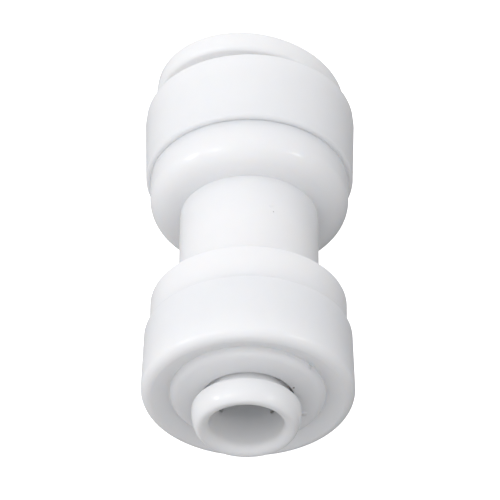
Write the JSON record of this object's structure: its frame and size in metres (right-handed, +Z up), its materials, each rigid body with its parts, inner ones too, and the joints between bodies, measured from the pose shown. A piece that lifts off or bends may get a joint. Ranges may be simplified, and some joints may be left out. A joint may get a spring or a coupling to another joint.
{
  "type": "push fit coupling",
  "caption": "Straight white plastic push-fit tube coupling with a narrow waist, a small port, a larger port, capped ends and sliding release collets.",
  "frame": {"origin": "centre of the coupling's bounding box, on the flow axis", "axes": "+Y along the flow axis from the small port to the large port, +Z up, the coupling lying on its side"},
  "size_m": [0.0196, 0.0396, 0.0196],
  "materials": {
    "acetal": "satin moulded acetal, white",
    "collet": "satin moulded acetal, white",
    "seal": "black seal rubber",
    "washer": "matt natural plastic",
    "steel": "stamped stainless steel"
  },
  "bodies": {
    "fitting": {"body": "acetal", "small_end_cap": "acetal", "large_end_cap": "acetal", "small_o_ring": "seal", "large_o_ring": "seal"},
    "small_washer": {"small_spacer_washer": "washer"},
    "small_release": {"small_collet": "collet", "small_tooth_1": "steel", "small_tooth_2": "steel", "small_tooth_3": "steel", "small_tooth_4": "steel"},
    "large_washer": {"large_spacer_washer": "washer"},
    "large_release": {"large_collet": "collet", "large_tooth_1": "steel", "large_tooth_2": "steel", "large_tooth_3": "steel", "large_tooth_4": "steel", "large_tooth_5": "steel", "large_tooth_6": "steel", "large_tooth_7": "steel", "large_tooth_8": "steel"}
  },
  "joints": [
    {"name": "small_collet_turn", "type": "hinge", "parent": "fitting", "child": "small_washer", "pos_m": [0, -0.01, 0], "axis": [0, 1, 0], "continuous": true},
    {"name": "small_collet_slide", "type": "slide", "parent": "small_washer", "child": "small_release", "axis": [0, 1, 0], "range_m": [-0.0005, 0.00055]},
    {"name": "large_collet_turn", "type": "hinge", "parent": "fitting", "child": "large_washer", "pos_m": [0, 0.009, 0], "axis": [0, 1, 0], "continuous": true},
    {"name": "large_collet_press", "type": "hinge", "parent": "large_washer", "child": "large_release", "pos_m": [0.0083, 0.01561, -0.0026], "axis": [0.2924, 0, 0.9563], "range_deg": [0, 6.75]}
  ]
}
